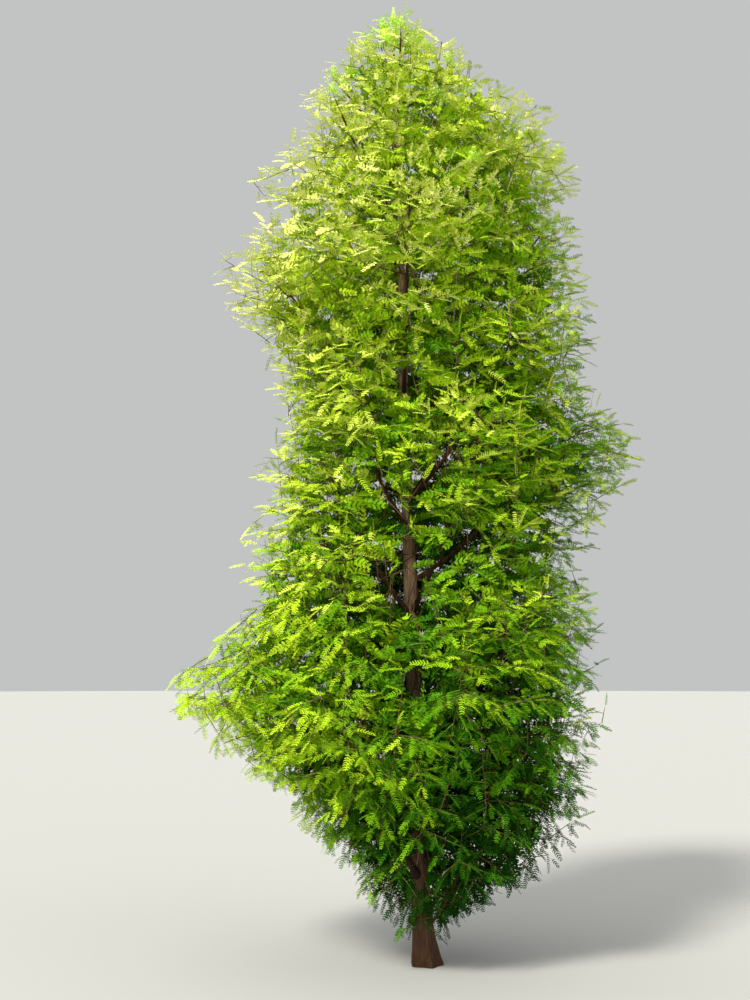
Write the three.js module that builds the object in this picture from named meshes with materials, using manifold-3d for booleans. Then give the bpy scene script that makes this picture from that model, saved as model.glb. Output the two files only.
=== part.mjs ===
// A young dawn redwood rooted in the ground: a fluted trunk, ascending boughs, and masses of
// needle sprays that fill a crown of measured outline. Millimetres, +Z up, the photograph's
// viewer on the -Y side. The origin is the middle of the flat cut under the trunk.
import * as THREE from "three";
import { mergeVertices } from "three/addons/utils/BufferGeometryUtils.js";
import Module from "manifold-3d";

const wasm = await Module();
wasm.setup();

// Trunk
const TRUNK_HEIGHT = 5090;
const FOOT_RADIUS = 58;
const TRUNK_TIP_RADIUS = 7;
const ROOT_FLARE = 32;
const FLARE_HEIGHT = 95;
const FLUTES = 5;
const FLUTE_DEPTH = 0.13;
const FLUTE_HEIGHT = 420;
const FOOT_LEAN = -60;
const FOOT_LEAN_HEIGHT = 350;
const TOP_LEAN = -112;
const SWAY = 11;
const SWAY_HEIGHT = 620;

// Crown outline: how far the sprays reach from the trunk's axis, to the viewer's left and right
const CROWN = [
  { height: 120, left: 170, right: 210 },
  { height: 480, left: 470, right: 740 },
  { height: 900, left: 850, right: 980 },
  { height: 1400, left: 1370, right: 1080 },
  { height: 1800, left: 1100, right: 1080 },
  { height: 2400, left: 930, right: 1120 },
  { height: 2800, left: 890, right: 1370 },
  { height: 3150, left: 860, right: 1130 },
  { height: 3700, left: 1130, right: 1080 },
  { height: 4200, left: 900, right: 1030 },
  { height: 4650, left: 690, right: 970 },
  { height: 5000, left: 560, right: 690 },
  { height: 5300, left: 310, right: 290 },
  { height: 5510, left: 60, right: 60 },
];
const CROWN_LOBES = 3;
const CROWN_LOBE_SHARE = 0.05;
const CROWN_LOBE_HEIGHT = 430;
const GROUND_GAP = 60;

// Rings of foliage masses, from the ground up. middle is the height of their middles, seat the
// height where their boughs leave the trunk, and turn the bearing of the first, in degrees
// from +X. Each mass of a ring stands a little higher than the one before. Rings with no bough
// have stems that start on the trunk.
const RINGS = [
  { name: "skirt", count: 4, middle: 520, seat: 330, turn: -48, share: 0.5 },
  { name: "low", count: 5, middle: 1150, seat: 590, turn: -108, share: 0.57, bough: true },
  { name: "lower", count: 5, middle: 1800, seat: 1200, turn: -54, share: 0.57, bough: true },
  { name: "middle", count: 5, middle: 2490, seat: 1850, turn: 82, share: 0.57, bough: true },
  { name: "upper", count: 4, middle: 3150, seat: 2530, turn: -129, share: 0.55, bough: true },
  { name: "high", count: 4, middle: 3830, seat: 3190, turn: 180, share: 0.55, bough: true },
  { name: "shoulder", count: 3, middle: 4440, seat: 4080, turn: -12, share: 0.5 },
  { name: "crest", count: 3, middle: 4930, seat: 4620, turn: 40, share: 0.44 },
];
const MASS_CLIMB = 84;
const MASS_HEIGHT_JITTER = 60;
const MASS_TURN_JITTER = 7;
const LEADER_MIDDLE = 5290;
const LEADER_TIP = 240;
const LEADER_TIP_RISE = 86;

// Boughs: tapering limbs that leave the trunk low and bend upwards
const BOUGH_END_SHARE = 0.4;
const BOUGH_END_DROP = 200;
const BOUGH_KNEE_SHARE = 0.55;
const BOUGH_KNEE_DROP = 0.16;
const BOUGH_SEAT_SHARE = 0.44;
const BOUGH_END_RADIUS = 9;
const BOUGH_TAPER_POWER = 0.8;
const BOUGH_SIDES = 5;
const BOUGH_STEPS = 4;

// Stems and twigs of a mass. Twigs fan out on both sides of the way from the trunk.
const STEM_SIDES = 4;
const STEM_STEPS = 3;
const STEM_START_RADIUS = 9;
const STEM_END_RADIUS = 5.5;
const STEM_TOP_SHARE = 0.8;
const STEM_RISE = 330;
const STEM_ROOM_SHARE = 0.86;
const STEM_KNEE_SHARE = 0.45;
const TWIGS = 4;
const TWIG_SIDES = 3;
const FIRST_TWIG = 0.1;
const LAST_TWIG = 0.86;
const TWIG_START_SHARE = 0.58;
const TWIG_END_RADIUS = 3.4;
const TWIG_FAN = 105;
const LEADER_FAN = 180;
const TWIG_RISE = -8;
const TWIG_RISE_ALONG = 24;
const TWIG_RISE_UP = 16;
const TWIG_RISE_JITTER = 6;
const TWIG_LONGEST = 720;
const TWIG_SHORTEST = 190;
const TWIG_BARE_SHARE = 0.25;
const GOLDEN_SHARE = 0.618034;

// Sprays of needles: toothed blades that droop at the foot of the crown and rise at its top
const SPRAY_LENGTH = 560;
const SPRAY_SHORTEST = 205;
const SPRAY_TRIES = [1, 0.82, 0.66];
const SPRAY_HALF_WIDTH = 0.32;
const SPRAY_THICKNESS = 0.022;
const SPRAY_MIDDLE = 0.4;
const SPRAY_ARCH = 0.16;
const SPRAY_SINK = 1;
const SPRAY_DROOP_FOOT = -38;
const SPRAY_DROOP_TOP = 6;
const SPRAY_DROOP_JITTER = 10;
const SPRAY_TILT = [15, 39];
const END_DROOP_SHARE = 0.6;
const SIDE_SPRAYS = [
  { at: 0.4, turn: 56 },
  { at: 0.75, turn: -56 },
];
const TIP_RISES = [-20, -5, 10, 25, 40, 55];
const NECK_VOLUME = 4;

// One side of a spray's outline: shares of its length and of its half width
const SPRAY_OUTLINE = [
  [0, 0],
  [0.08, 0.05],
  [0.34, 0.96],
  [0.44, 0.42],
  [0.74, 0.8],
  [1, 0],
];

// Gaps
const SEAT_GAP = 0.3;
const CELL_GAP = 2;
const TWIG_GAP = 9;
const BLADE_GAP = 26;

// Seeds and steps of the rules below
const SEED_SPREAD = 2654435761;
const DRAW_FACTOR = 1664525;
const DRAW_SHIFT = 1013904223;
const DRAW_RANGE = 2 ** 32;
const TWIG_SEED = 101;
const SPRAY_SEED = 501;
const ROOM_STEP = 15;
const LIMB_SAMPLES = 16;
const TWIG_PROBES = 24;
const PROBES_IN_STEM = 2;
const BLADE_PROBES = [0.25, 0.5, 0.75];
const SIDES_PER_FLUTE = 3;
const TRUNK_STEPS = 15;
const TRUNK_STEP_POWER = 1.7;
const SAME_POINT = 1e-4;

const { lerp, degToRad, radToDeg } = THREE.MathUtils;
const UP = new THREE.Vector3(0, 0, 1);

// Seeded numbers from 0 to 1
function drawsFrom(seed) {
  let state = Math.imul(seed + 1, SEED_SPREAD) >>> 0;
  return () => {
    state = (Math.imul(state, DRAW_FACTOR) + DRAW_SHIFT) >>> 0;
    return state / DRAW_RANGE;
  };
}

function between(draw, low, high) {
  return low + (high - low) * draw();
}

function direction(bearing, rise) {
  const turn = degToRad(bearing);
  const lift = degToRad(rise);
  return new THREE.Vector3(
    Math.cos(turn) * Math.cos(lift),
    Math.sin(turn) * Math.cos(lift),
    Math.sin(lift),
  );
}

// The trunk's axis and surface

function axisAt(height) {
  const lean =
    FOOT_LEAN * (1 - Math.exp(-height / FOOT_LEAN_HEIGHT)) +
    TOP_LEAN * (height / TRUNK_HEIGHT) ** 2;
  const sway = SWAY * Math.sin(height / SWAY_HEIGHT);
  return new THREE.Vector3(lean + sway, -sway, height);
}

function trunkRadius(height, bearing) {
  const taper =
    TRUNK_TIP_RADIUS + (FOOT_RADIUS - TRUNK_TIP_RADIUS) * (1 - height / TRUNK_HEIGHT);
  const flare = ROOT_FLARE * Math.exp(-height / FLARE_HEIGHT);
  const flute = FLUTE_DEPTH * Math.exp(-height / FLUTE_HEIGHT) * Math.cos(FLUTES * bearing);
  return (taper + flare) * (1 + flute);
}

// A closed cylinder whose rings are moved to their places: place(share, around) gives the
// point for a share of the length and an angle round the axis, and null around is the middle.
function loft(sides, steps, place) {
  const geometry = new THREE.CylinderGeometry(1, 1, 1, sides, steps);
  const position = geometry.getAttribute("position");
  for (let i = 0; i < position.count; i += 1) {
    const [x, y, z] = [position.getX(i), position.getY(i), position.getZ(i)];
    const onAxis = Math.hypot(x, z) < 0.5;
    const at = place(y + 0.5, onAxis ? null : Math.atan2(-z, x));
    position.setXYZ(i, at.x, at.y, at.z);
  }
  return geometry;
}

function trunkGeometry(clearance) {
  return loft(FLUTES * SIDES_PER_FLUTE, TRUNK_STEPS, (share, around) => {
    // Rings stand close together in the flare and far apart above it.
    const height = TRUNK_HEIGHT * share ** TRUNK_STEP_POWER;
    const middle = axisAt(height);
    if (around === null) return middle;
    const radius = trunkRadius(height, around) + clearance;
    return new THREE.Vector3(
      middle.x + radius * Math.cos(around),
      middle.y + radius * Math.sin(around),
      height,
    );
  });
}

function tubeGeometry(curve, sides, steps, radiusAt) {
  const frames = curve.computeFrenetFrames(steps);
  return loft(sides, steps, (share, around) => {
    const ring = Math.round(share * steps);
    const middle = curve.getPointAt(share);
    if (around === null) return middle;
    const radius = radiusAt(share);
    return middle
      .addScaledVector(frames.normals[ring], radius * Math.cos(around))
      .addScaledVector(frames.binormals[ring], radius * Math.sin(around));
  });
}

// Solids

function solidOf(geometry) {
  const bare = geometry.clone();
  bare.deleteAttribute("normal");
  bare.deleteAttribute("uv");
  const merged = mergeVertices(bare, SAME_POINT);
  const made = new wasm.Manifold(
    new wasm.Mesh({
      numProp: 3,
      vertProperties: new Float32Array(merged.getAttribute("position").array),
      triVerts: new Uint32Array(merged.index.array),
    }),
  );
  if (made.volume() > 0) return made;
  throw new Error("a shape is inside out");
}

function largestPiece(solid) {
  const pieces = solid.decompose().sort((a, b) => b.volume() - a.volume());
  return pieces[0];
}

function meshOf(name, solid, material) {
  const made = solid.getMesh();
  const points = new Float32Array(made.numVert * 3);
  for (let i = 0; i < made.numVert; i += 1) {
    points.set(made.vertProperties.subarray(i * made.numProp, i * made.numProp + 3), i * 3);
  }
  const geometry = new THREE.BufferGeometry()
    .setAttribute("position", new THREE.BufferAttribute(points, 3))
    .setIndex(new THREE.BufferAttribute(made.triVerts, 1));
  geometry.computeVertexNormals();
  const mesh = new THREE.Mesh(geometry, material);
  mesh.name = name;
  return mesh;
}

// The crown's outline

function crownReach(height, bearing) {
  const last = CROWN.length - 1;
  if (height <= CROWN[0].height || height >= CROWN[last].height) return 0;
  const next = CROWN.findIndex((station) => station.height > height);
  const [low, high] = [CROWN[next - 1], CROWN[next]];
  const share = (height - low.height) / (high.height - low.height);
  const left = lerp(low.left, high.left, share);
  const right = lerp(low.right, high.right, share);
  const turn = degToRad(bearing);
  const wave = Math.sin(CROWN_LOBES * turn + height / CROWN_LOBE_HEIGHT);
  const lobe = 1 + CROWN_LOBE_SHARE * wave;
  return ((left + right) / 2 + ((right - left) / 2) * Math.cos(turn)) * lobe;
}

function insideCrown(point) {
  if (point.z < GROUND_GAP) return false;
  const axis = axisAt(point.z);
  const [x, y] = [point.x - axis.x, point.y - axis.y];
  const bearing = radToDeg(Math.atan2(y, x));
  return Math.hypot(x, y) < crownReach(point.z, bearing);
}

// The layout of the masses. Each keeps to its own space: every point inside the crown's
// outline that is nearer to its middle than to any other mass's middle.

function atBearing(height, bearing, share) {
  const out = direction(bearing, 0).multiplyScalar(crownReach(height, bearing) * share);
  return axisAt(height).add(out);
}

function layOut() {
  const masses = [];
  for (const ring of RINGS) {
    const draw = drawsFrom(masses.length);
    for (let k = 0; k < ring.count; k += 1) {
      const turn = between(draw, -MASS_TURN_JITTER, MASS_TURN_JITTER);
      const bearing = ring.turn + (360 / ring.count) * k + turn;
      const climb = MASS_CLIMB * (k - (ring.count - 1) / 2);
      const lift = climb + between(draw, -MASS_HEIGHT_JITTER, MASS_HEIGHT_JITTER);
      const height = ring.middle + lift;
      masses.push({
        name: `${ring.name}_${k + 1}`,
        bearing,
        height,
        seat: ring.seat + lift,
        hasBough: Boolean(ring.bough),
        middle: atBearing(height, bearing, ring.share),
        fan: TWIG_FAN,
        tipRises: TIP_RISES,
      });
    }
  }
  masses.push({
    name: "leader",
    bearing: -90,
    height: LEADER_MIDDLE,
    seat: TRUNK_HEIGHT,
    hasBough: false,
    middle: axisAt(LEADER_MIDDLE),
    fan: LEADER_FAN,
    tipRises: [LEADER_TIP_RISE],
  });
  masses.forEach((mass, index) => {
    mass.index = index;
    mass.others = masses.filter((other) => other !== mass).map((other) => other.middle);
  });
  return masses;
}

// How far a point may go along a way before it is nearer to another mass's middle
function roomInCell(mass, from, way) {
  let room = Infinity;
  for (const other of mass.others) {
    const apart = other.clone().sub(mass.middle);
    const speed = apart.dot(way) / apart.length();
    if (speed <= 0) continue;
    const halfway = mass.middle.clone().add(other).multiplyScalar(0.5);
    const left = halfway.sub(from).dot(apart) / apart.length() - CELL_GAP;
    room = Math.min(room, left / speed);
  }
  return room;
}

function roomFor(mass, from, way, longest) {
  const most = Math.min(roomInCell(mass, from, way), longest);
  let room = 0;
  while (room + ROOM_STEP <= most) {
    if (!insideCrown(from.clone().addScaledVector(way, room + ROOM_STEP))) break;
    room += ROOM_STEP;
  }
  return room;
}

function inCell(mass, point) {
  const own = point.distanceToSquared(mass.middle);
  return mass.others.every((other) => {
    const spare = (point.distanceToSquared(other) - own) / (2 * mass.middle.distanceTo(other));
    return spare > CELL_GAP;
  });
}

// A limb as points along its middle, each with the radius there
function limbOf(curve, radiusAt) {
  return Array.from({ length: LIMB_SAMPLES + 1 }, (_, i) => {
    const share = i / LIMB_SAMPLES;
    return { at: curve.getPoint(share), radius: radiusAt(share) };
  });
}

function clearOfLimbs(point, limbs, gap) {
  const nearest = new THREE.Vector3();
  const span = new THREE.Line3();
  return limbs.every((limb) =>
    limb.slice(1).every((sample, i) => {
      span.set(limb[i].at, sample.at);
      span.closestPointToPoint(point, true, nearest);
      return nearest.distanceTo(point) > Math.max(limb[i].radius, sample.radius) + gap;
    }),
  );
}

// Boughs

function boughOf(mass) {
  const start = axisAt(mass.seat);
  const end = atBearing(mass.height, mass.bearing, BOUGH_END_SHARE);
  end.z = mass.height - BOUGH_END_DROP;
  const knee = start.clone().lerp(end, BOUGH_KNEE_SHARE);
  knee.z -= (end.z - start.z) * BOUGH_KNEE_DROP;
  const curve = new THREE.QuadraticBezierCurve3(start, knee, end);
  const seatRadius = trunkRadius(mass.seat, 0) * BOUGH_SEAT_SHARE;
  const radiusAt = (share) => lerp(seatRadius, BOUGH_END_RADIUS, share ** BOUGH_TAPER_POWER);
  return { curve, radiusAt, end };
}

// Stems run from the bough's end, or out of the trunk, to the top of the mass.

function stemRadius(share) {
  return lerp(STEM_START_RADIUS, STEM_END_RADIUS, share);
}

function stemOf(mass) {
  if (mass.seat === TRUNK_HEIGHT) {
    const start = axisAt(TRUNK_HEIGHT).add(new THREE.Vector3(0, 0, SEAT_GAP));
    const top = axisAt(CROWN[CROWN.length - 1].height - LEADER_TIP);
    return new THREE.QuadraticBezierCurve3(start, start.clone().lerp(top, 0.5), top);
  }
  const top = atBearing(mass.height, mass.bearing, STEM_TOP_SHARE);
  top.z = mass.height + STEM_RISE;
  const way = top.clone().sub(mass.middle).normalize();
  const room = roomFor(mass, mass.middle, way, top.distanceTo(mass.middle));
  const end = mass.middle.clone().addScaledVector(way, room * STEM_ROOM_SHARE);
  if (!mass.hasBough) {
    return new THREE.QuadraticBezierCurve3(axisAt(mass.seat), mass.middle.clone(), end);
  }
  const tangent = mass.bough.curve.getTangent(1);
  const start = mass.bough.end.clone().addScaledVector(tangent, SEAT_GAP);
  const knee = start.clone().addScaledVector(tangent, start.distanceTo(end) * STEM_KNEE_SHARE);
  return new THREE.QuadraticBezierCurve3(start, knee, end);
}

// Twigs: each runs as far as its mass's space and the crown allow, less a spray's length.

function twigsOf(mass, limbs) {
  const draw = drawsFrom(mass.index + TWIG_SEED);
  const first = draw();
  const twigs = [];
  for (let k = 0; k < TWIGS; k += 1) {
    const share = lerp(FIRST_TWIG, LAST_TWIG, k / (TWIGS - 1));
    const start = mass.stem.getPoint(share);
    const side = 2 * ((first + GOLDEN_SHARE * k) % 1) - 1;
    const bearing = mass.bearing + mass.fan * side;
    const lift = TWIG_RISE_ALONG * share + (TWIG_RISE_UP * mass.height) / TRUNK_HEIGHT;
    const rise = TWIG_RISE + lift + between(draw, -TWIG_RISE_JITTER, TWIG_RISE_JITTER);
    const way = direction(bearing, rise);
    const reach = roomFor(mass, start, way, TWIG_LONGEST);
    const bare = Math.max(reach - SPRAY_LENGTH, reach * TWIG_BARE_SHARE);
    const end = start.clone().addScaledVector(way, bare);
    const line = new THREE.LineCurve3(start, end);
    const probes = line.getPoints(TWIG_PROBES).slice(PROBES_IN_STEM);
    const clear = probes.every((point) => clearOfLimbs(point, limbs, TWIG_GAP));
    if (reach < TWIG_SHORTEST || !clear) continue;
    twigs.push({ line, bearing, rise, radius: stemRadius(share) * TWIG_START_SHARE });
  }
  return twigs;
}

// Sprays: toothed blades, thickest in the middle and slightly arched

function sprayPoints(root, way, length, tilt) {
  const across = new THREE.Vector3().crossVectors(UP, way).normalize();
  across.applyAxisAngle(way, degToRad(tilt));
  const normal = new THREE.Vector3().crossVectors(way, across);
  const at = (along, side, lift) =>
    root
      .clone()
      .addScaledVector(way, along * length)
      .addScaledVector(across, side * SPRAY_HALF_WIDTH * length)
      .addScaledVector(normal, (lift * SPRAY_THICKNESS - SPRAY_ARCH * along ** 2) * length);
  const edge = SPRAY_OUTLINE.map(([along, side]) => at(along, side, 0));
  for (const [along, side] of SPRAY_OUTLINE.slice(1, -1).reverse()) {
    edge.push(at(along, -side, 0));
  }
  return { edge, over: at(SPRAY_MIDDLE, 0, 0.5), under: at(SPRAY_MIDDLE, 0, -0.5) };
}

function sprayGeometry({ edge, over, under }) {
  const [top, bottom] = [edge.length, edge.length + 1];
  const faces = edge.flatMap((point, i) => {
    const next = (i + 1) % edge.length;
    return [next, i, top, i, next, bottom];
  });
  return new THREE.BufferGeometry().setFromPoints([...edge, over, under]).setIndex(faces);
}

function sprayFits(mass, { edge, over, under }, limbs) {
  const points = [...edge, over, under];
  if (!points.every((point) => inCell(mass, point) && point.z > GROUND_GAP)) return false;
  const probes = edge.flatMap((point) =>
    BLADE_PROBES.map((share) => over.clone().lerp(point, share)),
  );
  return [...points, ...probes].every((point) => clearOfLimbs(point, limbs, BLADE_GAP));
}

// The longest spray that fits, tilted to one side or else to the other
function fitSpray(mass, at, bearing, rise, tilt, limbs) {
  const way = direction(bearing, rise);
  const root = at.clone().addScaledVector(way, -SPRAY_SINK);
  const room = roomFor(mass, at, way, SPRAY_LENGTH);
  for (const share of SPRAY_TRIES) {
    const length = room * share;
    if (length < SPRAY_SHORTEST) return null;
    for (const side of [1, -1]) {
      const points = sprayPoints(root, way, length, tilt * side);
      if (sprayFits(mass, points, limbs)) return points;
    }
  }
  return null;
}

// The sprays that a mass tries to grow: one on its stem's end, and three on each twig

function tipSprayOf(mass, draw) {
  const at = mass.stem.getPoint(1);
  const outAt = (rise) => {
    const room = roomFor(mass, at, direction(mass.bearing, rise), SPRAY_LENGTH);
    return room * Math.cos(degToRad(rise));
  };
  const rise = [...mass.tipRises].sort((a, b) => outAt(b) - outAt(a))[0];
  return { at, bearing: mass.bearing, rise, tilt: between(draw, ...SPRAY_TILT) };
}

function twigSpraysOf(mass, { line, bearing, rise }, draw) {
  const droop = lerp(SPRAY_DROOP_FOOT, SPRAY_DROOP_TOP, mass.height / TRUNK_HEIGHT);
  const jitter = () => between(draw, -SPRAY_DROOP_JITTER, SPRAY_DROOP_JITTER);
  const tilt = () => between(draw, ...SPRAY_TILT) * (draw() < 0.5 ? -1 : 1);
  const endRise = rise + droop * END_DROOP_SHARE + jitter();
  const end = { at: line.getPoint(1), bearing, rise: endRise, tilt: tilt() };
  const sides = SIDE_SPRAYS.map(({ at, turn }) => ({
    at: line.getPoint(at),
    bearing: bearing + turn,
    rise: droop + jitter(),
    tilt: tilt(),
  }));
  return [end, ...sides];
}

// A spray that would cut through what has grown already is skipped, and so is a bare twig.
function growMass(mass, limbs) {
  const draw = drawsFrom(mass.index + SPRAY_SEED);
  let grown = solidOf(tubeGeometry(mass.stem, STEM_SIDES, STEM_STEPS, stemRadius));
  const addSpray = ({ at, bearing, rise, tilt }) => {
    const points = fitSpray(mass, at, bearing, rise, tilt, limbs);
    if (!points) return false;
    const blade = solidOf(sprayGeometry(points));
    if (grown.intersect(blade).volume() > NECK_VOLUME) return false;
    grown = grown.add(blade);
    return true;
  };
  addSpray(tipSprayOf(mass, draw));
  for (const twig of twigsOf(mass, limbs)) {
    const before = grown;
    const radiusAt = (share) => lerp(twig.radius, TWIG_END_RADIUS, share);
    grown = grown.add(solidOf(tubeGeometry(twig.line, TWIG_SIDES, 1, radiusAt)));
    const added = twigSpraysOf(mass, twig, draw).map(addSpray);
    if (!added.includes(true)) grown = before;
  }
  return grown;
}

// Colours

const bark = new THREE.MeshStandardMaterial({ color: 0x6e4632, roughness: 0.9, metalness: 0 });
const needles = new THREE.MeshStandardMaterial({ color: 0x7fa32b, roughness: 0.7, metalness: 0 });

// The tree

const tree = new THREE.Group();
const trunkRoom = solidOf(trunkGeometry(SEAT_GAP));
tree.add(meshOf("trunk", solidOf(trunkGeometry(0)), bark));

const trunkCurve = new THREE.CatmullRomCurve3(
  [0, 0.25, 0.5, 0.75, 1].map((share) => axisAt(TRUNK_HEIGHT * share)),
);
const limbs = [limbOf(trunkCurve, (share) => trunkRadius(TRUNK_HEIGHT * share, 0))];
const masses = layOut();
for (const mass of masses.filter((each) => each.hasBough)) {
  mass.bough = boughOf(mass);
  limbs.push(limbOf(mass.bough.curve, mass.bough.radiusAt));
  const { curve, radiusAt } = mass.bough;
  const whole = solidOf(tubeGeometry(curve, BOUGH_SIDES, BOUGH_STEPS, radiusAt));
  tree.add(meshOf(`bough_${mass.name}`, largestPiece(whole.subtract(trunkRoom)), bark));
}
for (const mass of masses) mass.stem = stemOf(mass);
for (const mass of masses) {
  const stems = masses.filter((other) => other !== mass).map(({ stem }) => limbOf(stem, stemRadius));
  const grown = growMass(mass, [...limbs, ...stems]);
  const foliage = mass.hasBough ? grown : grown.subtract(trunkRoom);
  tree.add(meshOf(`foliage_${mass.name}`, largestPiece(foliage), needles));
}

export default tree;
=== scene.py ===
"""A young dawn redwood rooted in the ground, dressed around its fixed frame.

The trunk and the boughs get a mesh with the bark's relief. Each mass of foliage is grown
again from its own stem by the rule that made its solid, and carried on to finer twigs and
to branchlets of needles. Metres, +Z up, the photograph's viewer on the -Y side.
"""

import math
from types import SimpleNamespace

import bpy
import numpy as np
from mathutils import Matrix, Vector


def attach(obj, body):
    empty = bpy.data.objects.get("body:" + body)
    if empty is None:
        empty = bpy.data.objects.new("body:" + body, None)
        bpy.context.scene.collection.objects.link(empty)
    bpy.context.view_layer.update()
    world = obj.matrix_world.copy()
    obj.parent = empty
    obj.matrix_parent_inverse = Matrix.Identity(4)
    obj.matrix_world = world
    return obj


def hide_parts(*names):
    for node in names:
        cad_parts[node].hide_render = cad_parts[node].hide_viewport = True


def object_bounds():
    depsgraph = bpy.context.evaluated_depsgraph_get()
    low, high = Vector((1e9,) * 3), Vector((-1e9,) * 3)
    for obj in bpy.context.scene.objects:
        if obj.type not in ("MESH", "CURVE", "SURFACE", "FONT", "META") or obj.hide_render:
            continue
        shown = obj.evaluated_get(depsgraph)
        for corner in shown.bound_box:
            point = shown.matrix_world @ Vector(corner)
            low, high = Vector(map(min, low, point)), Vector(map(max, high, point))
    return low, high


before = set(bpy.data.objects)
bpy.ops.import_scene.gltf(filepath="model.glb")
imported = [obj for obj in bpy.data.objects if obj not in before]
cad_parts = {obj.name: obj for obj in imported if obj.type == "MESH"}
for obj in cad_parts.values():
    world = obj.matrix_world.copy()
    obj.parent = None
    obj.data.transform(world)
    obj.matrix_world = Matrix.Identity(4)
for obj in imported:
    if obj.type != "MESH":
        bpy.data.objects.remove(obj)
frame_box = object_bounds()

# Camera: a standing viewer's eye, a little to the left of the trunk
EYE = (-0.28, -7.5, 1.6)
CAMERA_PITCH = 7.2
SENSOR = 36
FOCAL_SHARE = 1.332

# Trunk
TRUNK_HEIGHT = 5.09
FOOT_RADIUS = 0.058
TRUNK_TIP_RADIUS = 0.007
ROOT_FLARE = 0.032
FLARE_HEIGHT = 0.095
FLUTES = 5
FLUTE_DEPTH = 0.13
FLUTE_HEIGHT = 0.42
FOOT_LEAN = -0.060
FOOT_LEAN_HEIGHT = 0.35
TOP_LEAN = -0.112
SWAY = 0.011
SWAY_HEIGHT = 0.62

# Crown outline: heights, and how far the sprays reach to the viewer's left and right
CROWN = np.array([
    (0.12, 0.17, 0.21),
    (0.48, 0.47, 0.74),
    (0.90, 0.85, 0.98),
    (1.40, 1.37, 1.08),
    (1.80, 1.10, 1.08),
    (2.40, 0.93, 1.12),
    (2.80, 0.89, 1.37),
    (3.15, 0.86, 1.13),
    (3.70, 1.13, 1.08),
    (4.20, 0.90, 1.03),
    (4.65, 0.69, 0.97),
    (5.00, 0.56, 0.69),
    (5.30, 0.31, 0.29),
    (5.51, 0.06, 0.06),
])
# Where that outline sinks in between the tips of boughs: height, and how far left and right
DIPS = np.array([
    (0.35, 0.04, 0.12),
    (0.61, 0.12, 0.04),
    (0.88, 0.06, 0.08),
    (1.20, 0.04, 0.12),
    (1.48, -0.04, 0.02),
    (1.70, 0.00, 0.00),
    (1.98, 0.15, 0.00),
    (2.26, 0.00, 0.00),
    (2.55, 0.11, 0.06),
    (2.75, 0.00, 0.00),
    (2.95, 0.00, 0.00),
    (3.13, 0.07, 0.05),
    (3.42, 0.15, -0.04),
    (3.77, 0.00, 0.08),
    (4.01, 0.18, 0.11),
    (4.31, -0.03, -0.04),
    (4.62, 0.17, 0.00),
    (4.87, 0.05, 0.06),
    (5.18, 0.08, 0.13),
    (5.40, 0.00, 0.00),
])
CROWN_TOP = CROWN[-1][0]
CROWN_LOBES = 3
CROWN_LOBE_SHARE = 0.05
CROWN_LOBE_HEIGHT = 0.43
GROUND_GAP = 0.06

# Rings of foliage masses: name, count, height of their middles, height of their seats on the
# trunk, bearing of the first, share of the crown's reach, and whether boughs carry them
RINGS = [
    ("skirt", 4, 0.52, 0.33, -48, 0.50, False),
    ("low", 5, 1.15, 0.59, -108, 0.57, True),
    ("lower", 5, 1.80, 1.20, -54, 0.57, True),
    ("middle", 5, 2.49, 1.85, 82, 0.57, True),
    ("upper", 4, 3.15, 2.53, -129, 0.55, True),
    ("high", 4, 3.83, 3.19, 180, 0.55, True),
    ("shoulder", 3, 4.44, 4.08, -12, 0.50, False),
    ("crest", 3, 4.93, 4.62, 40, 0.44, False),
]
MASS_CLIMB = 0.084
MASS_HEIGHT_JITTER = 0.06
MASS_TURN_JITTER = 7
LEADER_BEARING = -90
LEADER_MIDDLE = 5.29
LEADER_TIP = 0.24

# Boughs and stems
BOUGH_END_SHARE = 0.4
BOUGH_END_DROP = 0.2
BOUGH_KNEE_SHARE = 0.55
BOUGH_KNEE_DROP = 0.16
BOUGH_SEAT_SHARE = 0.44
BOUGH_END_RADIUS = 0.009
BOUGH_TAPER_POWER = 0.8
STEM_RADII = (0.009, 0.0045)
STEM_TOP_SHARE = 0.8
STEM_RISE = 0.33
STEM_ROOM_SHARE = 0.86
STEM_KNEE_SHARE = 0.45
STEM_BENDS = 8
STEM_SIDES = 6

# Twigs of a stem, which fan out on both sides of the way from the trunk. Here and below, one
# turn or one rise has its jitter beside it, and a pair in the plural runs from start to end.
TWIGS = 12
TWIG_SPAN = (0.1, 0.96)
TWIG_START_SHARE = 0.5
TWIG_END_RADIUS = 0.0013
TWIG_BENDS = 3
TWIG_SIDES = 4
TWIG_LEAST_SHARE = 0.1
# Sprays short of this share along a twig get painted shade, those past it painted light.
SHADE_TO_LIGHT_SHARE = 0.6
TWIG_FAN = 105
LEADER_FAN = 180
TWIG_RISE = -8
TWIG_RISE_ALONG = 24
TWIG_RISE_UP = 16
TWIG_RISE_JITTER = 6
TWIG_LONGEST = 0.72
TWIG_SHORTEST = 0.12
TWIG_ROLL = 34
GOLDEN_SHARE = 0.618034
DROOPS = (-38, 6)
END_DROOP_SHARE = 0.6
TWIG_BEND = 0.09
TIP_RISES = (-20, -5, 10, 25, 40, 55)
LEADER_TIP_RISES = (86,)

# Side twigs, in a flat row on both sides of a twig. A swell is how their length changes along
# it: the share added, the share where they are full, and how fast they shorten to the tip.
SIDE_FIRST = 0.12
SIDE_STEP = 0.065
SIDE_SWELL = (0.22, 0.5, 0.75)
SIDE_LEAST = 0.05
SIDE_TURN = (54, 7)
SIDE_LONGEST = 0.30
SIDE_SHORTEST = 0.04
SIDE_SHARE = 0.50
SIDE_RADIUS = 0.0019
SIDE_SIDES = 3
SIDE_BENT = 0.17
SIDE_DROOP_SHARE = 0.45
SIDE_DROOP_JITTER = 9

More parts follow.
